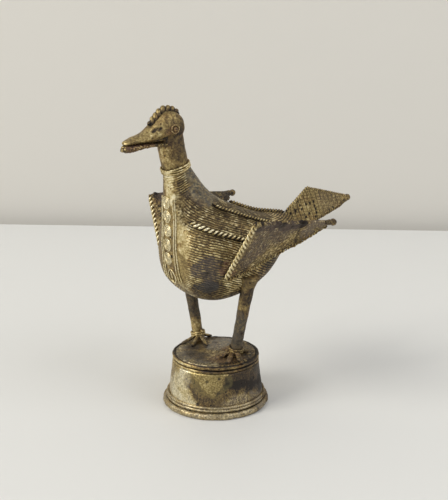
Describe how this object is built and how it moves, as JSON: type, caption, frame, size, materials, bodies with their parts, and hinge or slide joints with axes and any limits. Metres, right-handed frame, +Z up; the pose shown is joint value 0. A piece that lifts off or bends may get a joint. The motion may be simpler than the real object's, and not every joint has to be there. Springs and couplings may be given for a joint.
{
  "type": "bird figurine",
  "caption": "Cast brass peacock with twisted cords, braided crest, spread wings and a lattice tail, standing on an open drum base.",
  "frame": {"origin": "centre of the whole figurine's bounding box, on the underside of the base", "axes": "+Z up out of the base, -Y the way the bird faces, +X to the bird's left"},
  "size_m": [0.0818, 0.1278, 0.1355],
  "materials": {
    "cast_brass": "aged, satin",
    "rubbed_brass": "rubbed bright on the high spots",
    "dark_brass": "dark, dull",
    "fired_clay": "matt, porous"
  },
  "bodies": {
    "root": {"base_drum": "cast_brass", "base_top_disc": "dark_brass", "base_foot_band": "cast_brass", "base_foot_thread_lower": "cast_brass", "base_foot_thread_upper": "cast_brass", "base_rim_thread_lower": "rubbed_brass", "base_rim_thread_upper": "rubbed_brass", "body_shell": "cast_brass", "clay_core": "fired_clay", "leg_left": "cast_brass", "anklet_left": "rubbed_brass", "toe_inner_left": "dark_brass", "toe_middle_left": "dark_brass", "toe_outer_left": "dark_brass", "toe_hind_left": "dark_brass", "leg_right": "cast_brass", "anklet_right": "rubbed_brass", "toe_inner_right": "dark_brass", "toe_middle_right": "dark_brass", "toe_outer_right": "dark_brass", "toe_hind_right": "dark_brass", "head": "cast_brass", "lower_beak": "dark_brass", "collar_thread_lower": "rubbed_brass", "collar_thread_upper": "rubbed_brass", "crest_plait": "rubbed_brass", "eye_ring_left": "rubbed_brass", "eye_ring_right": "rubbed_brass", "eye_pellet_left": "dark_brass", "eye_pellet_right": "dark_brass", "wing_left": "cast_brass", "wing_tip_left": "cast_brass", "wing_front_cord_left": "rubbed_brass", "wing_edge_thread_left": "dark_brass", "wing_knob_left": "rubbed_brass", "wing_right": "cast_brass", "wing_tip_right": "cast_brass", "wing_front_cord_right": "rubbed_brass", "wing_edge_thread_right": "dark_brass", "wing_knob_right": "rubbed_brass", "tail_plate": "cast_brass", "tail_edge_thread_upper": "rubbed_brass", "tail_edge_thread_lower": "dark_brass", "tail_bead": "rubbed_brass", "spine_cord": "dark_brass", "back_cord_left": "rubbed_brass", "back_cord_right": "rubbed_brass", "flank_cord_left": "rubbed_brass", "flank_cord_right": "rubbed_brass", "breast_coil_1": "rubbed_brass", "breast_coil_2": "rubbed_brass", "breast_coil_3": "rubbed_brass", "breast_coil_4": "rubbed_brass", "breast_coil_5": "rubbed_brass", "breast_leaf": "rubbed_brass", "breast_border_left": "rubbed_brass", "breast_border_right": "rubbed_brass"}
  },
  "joints": []
}
